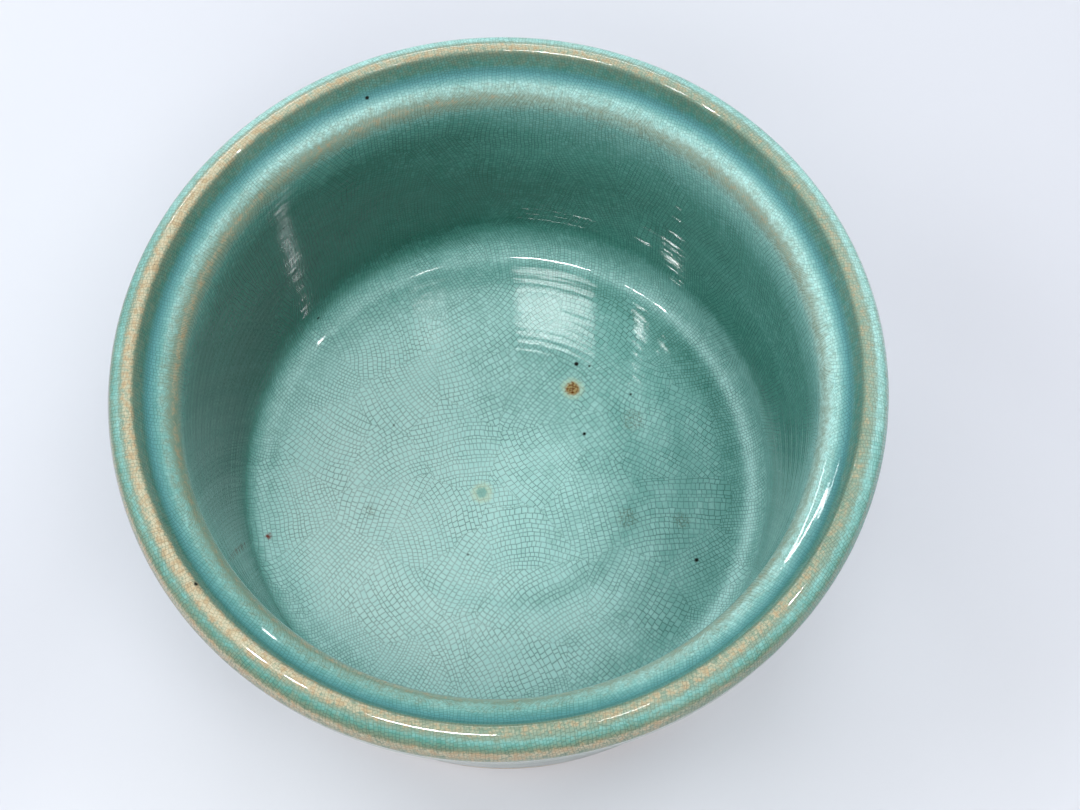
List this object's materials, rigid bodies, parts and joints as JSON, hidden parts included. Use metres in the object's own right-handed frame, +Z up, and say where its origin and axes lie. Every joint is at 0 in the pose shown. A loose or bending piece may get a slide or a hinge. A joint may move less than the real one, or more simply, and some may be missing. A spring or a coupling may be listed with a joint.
{
  "type": "bonsai pot",
  "caption": "Round, straight-walled stoneware bonsai pot with a rolled rim, an inner ledge, a turned foot ring and a crackled celadon glaze.",
  "frame": {"origin": "centre of the foot's contact plane, on the pot's axis", "axes": "+Z up along the pot's axis, from the foot to the mouth; the pot is round, so +X and +Y are free"},
  "size_m": [0.25, 0.25, 0.135],
  "materials": {
    "clay_body": "unglazed buff stoneware, turned, matt",
    "celadon_glaze": "glossy blue-green celadon glaze with a fine dark crackle, buff where it thins on the edges"
  },
  "bodies": {
    "root": {"floor_slab": "clay_body", "wall_shell": "clay_body", "rim_collar": "clay_body", "foot_ring": "clay_body", "interior_glaze": "celadon_glaze", "rim_glaze": "celadon_glaze", "exterior_glaze": "celadon_glaze"}
  },
  "joints": []
}
